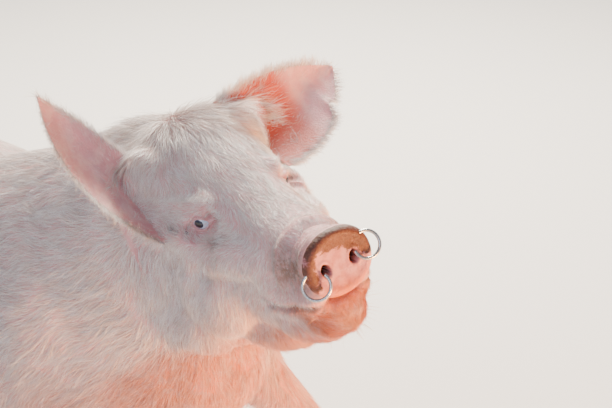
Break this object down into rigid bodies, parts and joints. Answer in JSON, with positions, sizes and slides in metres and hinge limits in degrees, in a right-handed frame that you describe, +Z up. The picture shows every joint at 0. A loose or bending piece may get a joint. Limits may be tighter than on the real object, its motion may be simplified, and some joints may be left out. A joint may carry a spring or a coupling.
{
  "type": "pig",
  "caption": "Standing adult pig with pricked ears, head raised and turned to its right, a forefoot stepping forward, and open rings in its nose.",
  "frame": {"origin": "middle of the bounding box at the level of the soles", "axes": "+X forwards along the back, +Y to the pig's left, +Z up"},
  "size_m": [1.5444, 0.4506, 0.9846],
  "materials": {
    "skin": "pink skin under a thin coat of white bristles",
    "eye": "wet and dark",
    "steel": "worn bright wire",
    "horn": "dull horn"
  },
  "bodies": {
    "root": {"dewclaw_foreleg_left_inner": "horn", "dewclaw_foreleg_left_outer": "horn", "dewclaw_foreleg_right_inner": "horn", "dewclaw_foreleg_right_outer": "horn", "dewclaw_hindleg_left_inner": "horn", "dewclaw_hindleg_left_outer": "horn", "dewclaw_hindleg_right_inner": "horn", "dewclaw_hindleg_right_outer": "horn", "ear_left": "skin", "ear_right": "skin", "eye_left": "eye", "eye_right": "eye", "foreleg_left": "skin", "foreleg_right": "skin", "head": "skin", "hindleg_left": "skin", "hindleg_right": "skin", "hoof_foreleg_left_inner": "horn", "hoof_foreleg_left_outer": "horn", "hoof_foreleg_right_inner": "horn", "hoof_foreleg_right_outer": "horn", "hoof_hindleg_left_inner": "horn", "hoof_hindleg_left_outer": "horn", "hoof_hindleg_right_inner": "horn", "hoof_hindleg_right_outer": "horn", "neck": "skin", "nose_ring_left": "steel", "nose_ring_right": "steel", "tail": "skin", "trunk": "skin"}
  },
  "joints": []
}
